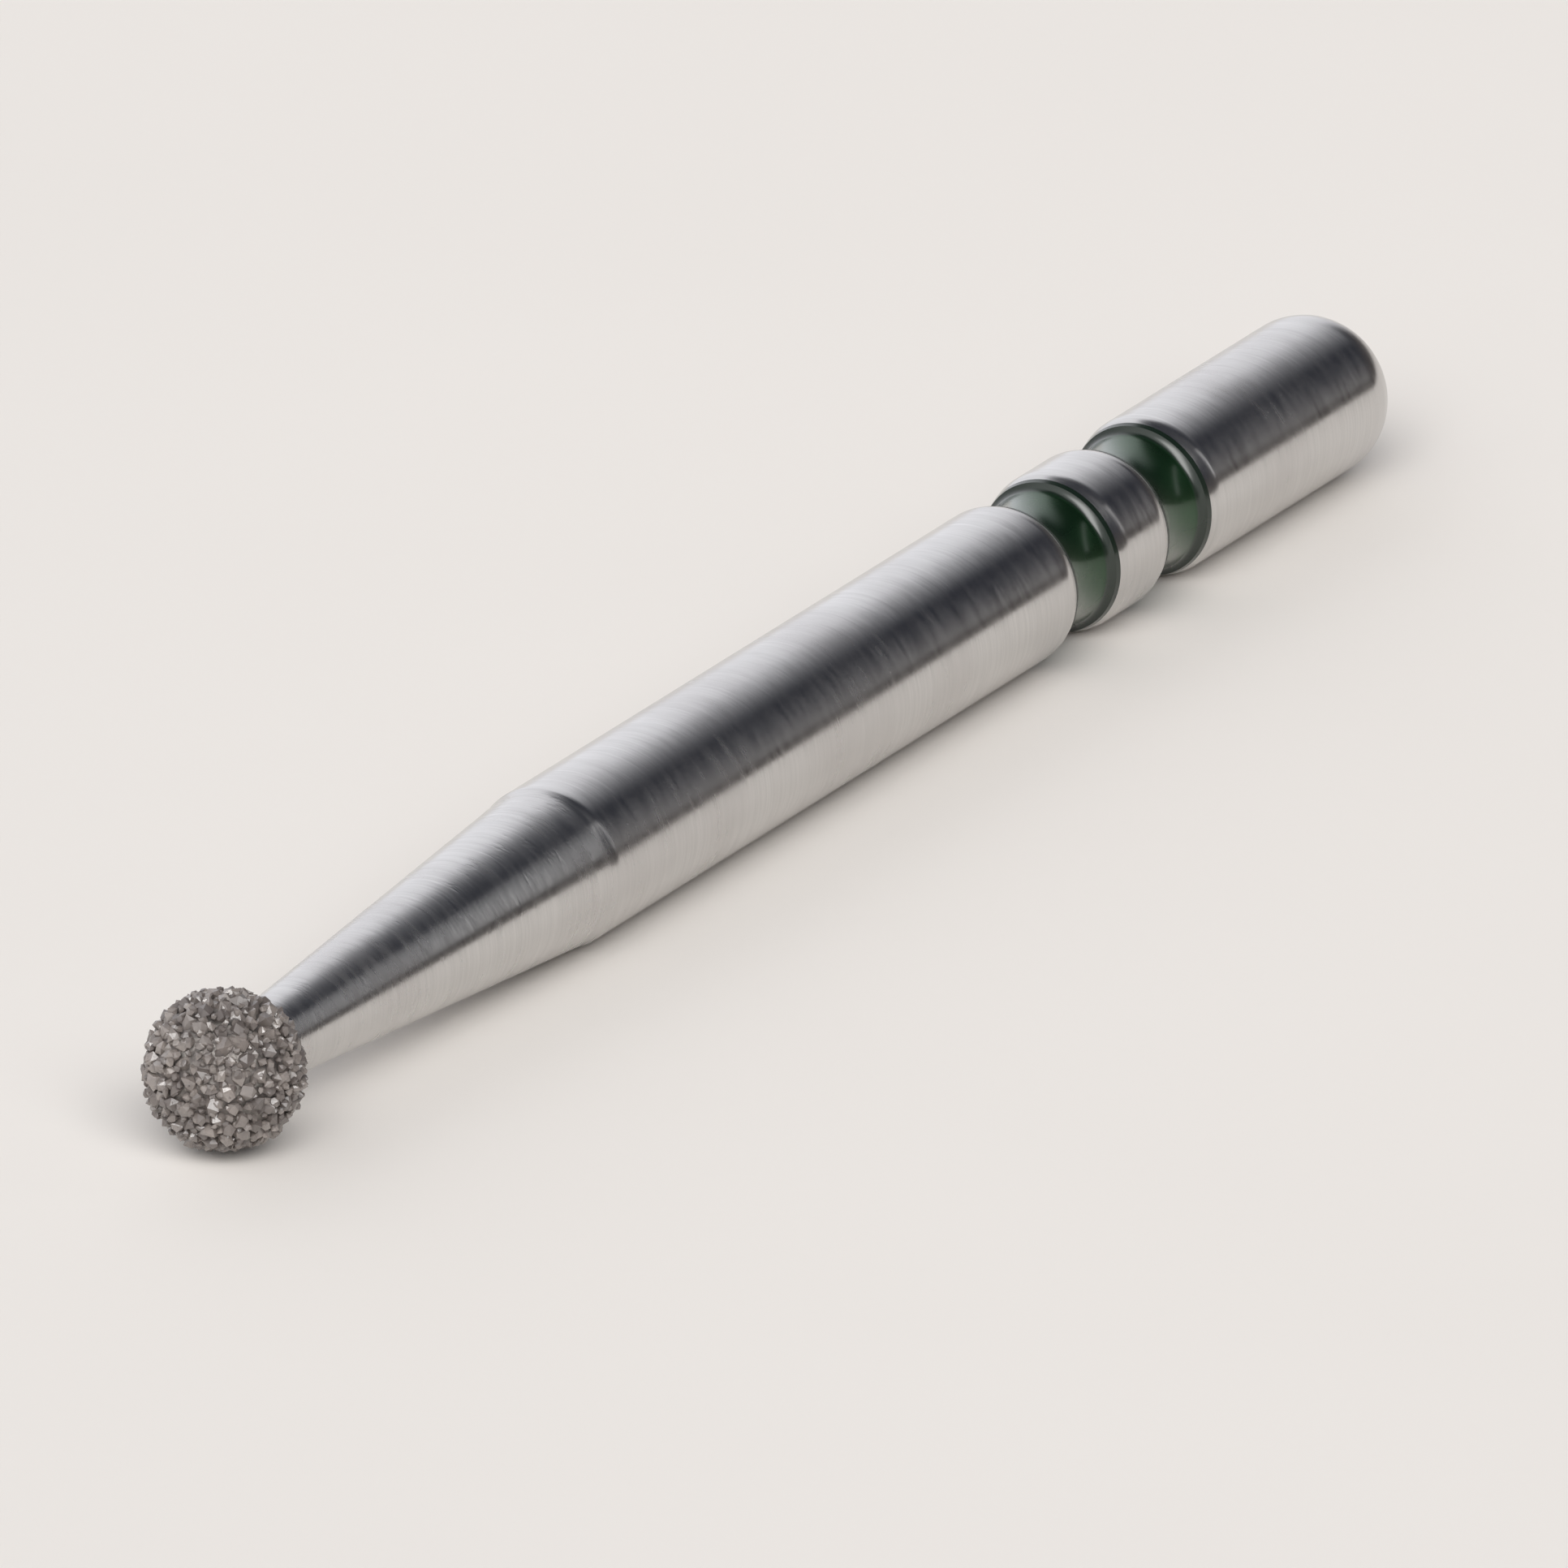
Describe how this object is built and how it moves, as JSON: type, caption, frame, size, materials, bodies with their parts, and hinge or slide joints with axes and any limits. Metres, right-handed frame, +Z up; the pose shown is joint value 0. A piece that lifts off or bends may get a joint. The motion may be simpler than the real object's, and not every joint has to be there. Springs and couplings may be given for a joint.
{
  "type": "dental bur",
  "caption": "Round diamond bur with a friction grip shank, a long tapered neck and green coarse-grit bands, for cutting teeth in a dental turbine.",
  "frame": {"origin": "on the bur's axis, in the plane where the taper meets the cylindrical shank", "axes": "+X along the axis, from the ball to the rear end of the shank; +Z up with the bur lying level"},
  "size_m": [0.0209, 0.0016, 0.0016],
  "materials": {
    "ground_steel": "ground and polished stainless steel, near mirror",
    "diamond_grit": "coarse diamond grains in a nickel bond, rough with bright facets",
    "green_lacquer": "glossy dark green lacquer"
  },
  "bodies": {
    "root": {"steel_blank": "ground_steel", "diamond_coat": "diamond_grit", "green_band_front": "green_lacquer", "green_band_rear": "green_lacquer"}
  },
  "joints": []
}
